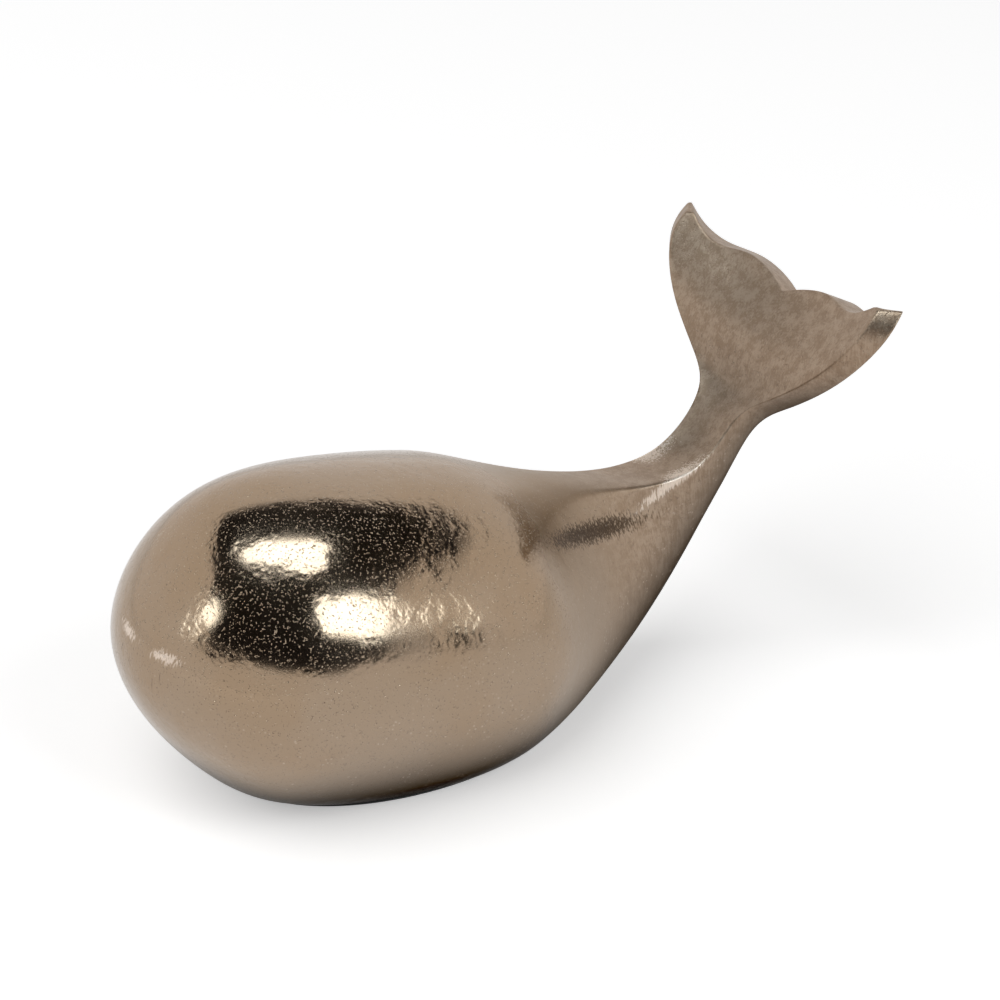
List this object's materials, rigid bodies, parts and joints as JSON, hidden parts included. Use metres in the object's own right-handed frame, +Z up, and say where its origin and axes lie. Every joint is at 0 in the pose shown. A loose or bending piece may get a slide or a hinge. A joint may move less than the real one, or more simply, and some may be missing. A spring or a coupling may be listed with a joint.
{
  "type": "whale figurine",
  "caption": "Cast metal whale ornament: hollow egg-shaped body with a flat belly on a felt pad, closed by a base plate, and a bolted-on upswept tail with flukes.",
  "frame": {"origin": "centre of the felt pad's underside, the face the whale rests on", "axes": "-X towards the nose, +X towards the tail, +Z up, the whale is symmetric across Y"},
  "size_m": [0.2183, 0.0948, 0.1085],
  "materials": {
    "cast_metal": "sand-cast, bronze-toned and rubbed smooth, semi-gloss, pitted all over with fine casting pits",
    "fastener_steel": "bright zinc plate",
    "plate_steel": "rolled steel sheet, as cut",
    "felt": "pressed wool felt, matte black"
  },
  "bodies": {
    "root": {"body_casting": "cast_metal", "tail_casting": "cast_metal", "tail_stud": "fastener_steel", "tail_washer": "fastener_steel", "tail_nut": "fastener_steel", "base_plate": "plate_steel", "base_screws": "fastener_steel", "felt_pad": "felt"}
  },
  "joints": []
}
